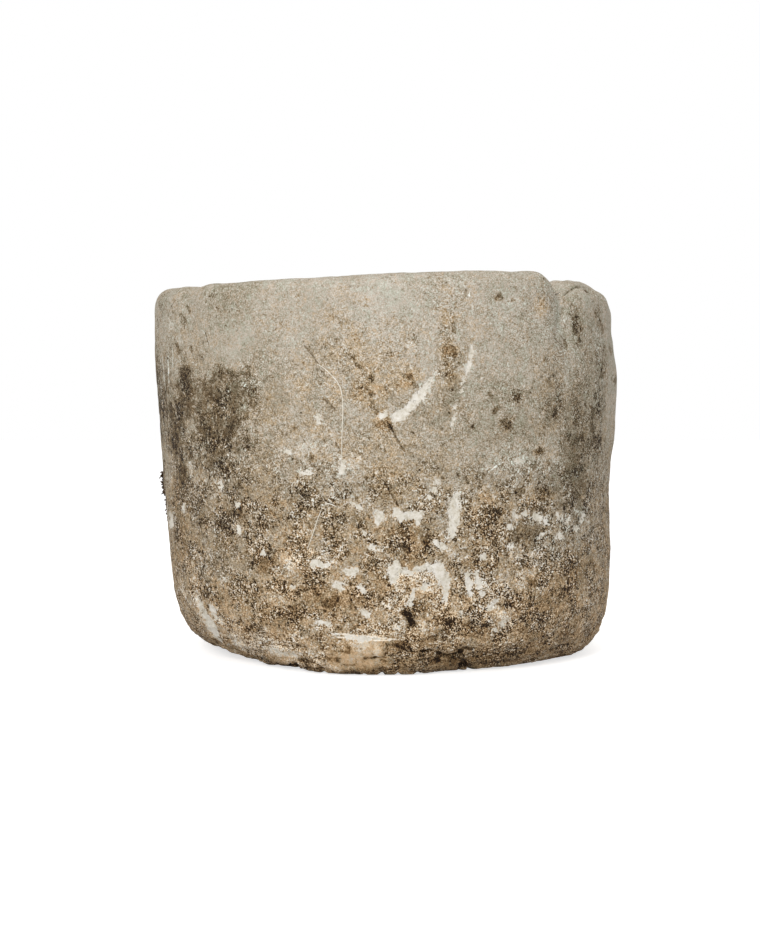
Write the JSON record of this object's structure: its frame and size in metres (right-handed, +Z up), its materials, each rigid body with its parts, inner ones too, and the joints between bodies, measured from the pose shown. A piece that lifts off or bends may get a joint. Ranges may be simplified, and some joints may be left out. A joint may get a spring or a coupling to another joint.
{
  "type": "stone trough",
  "caption": "Hand-hewn limestone trough, round-cornered and open at the top, with a deep basin, a worn notch in the rim, dried moss and rootlets on the wall.",
  "frame": {"origin": "on the ground, under the middle of the trough's bounding box", "axes": "+Z up, the front with the rootlets is -Y, and the rim's notch is to the front right, between -Y and +X"},
  "size_m": [0.474, 0.461, 0.382],
  "materials": {
    "limestone": "weathered, pitted and lichened",
    "dry_moss": "dried, matt",
    "dry_root": "dried, bleached"
  },
  "bodies": {
    "root": {"trough_body": "limestone", "moss_tuft_upper": "dry_moss", "moss_tuft_middle": "dry_moss", "moss_tuft_lower": "dry_moss", "rootlet_long": "dry_root", "rootlet_forked": "dry_root", "rootlet_short": "dry_root"}
  },
  "joints": []
}
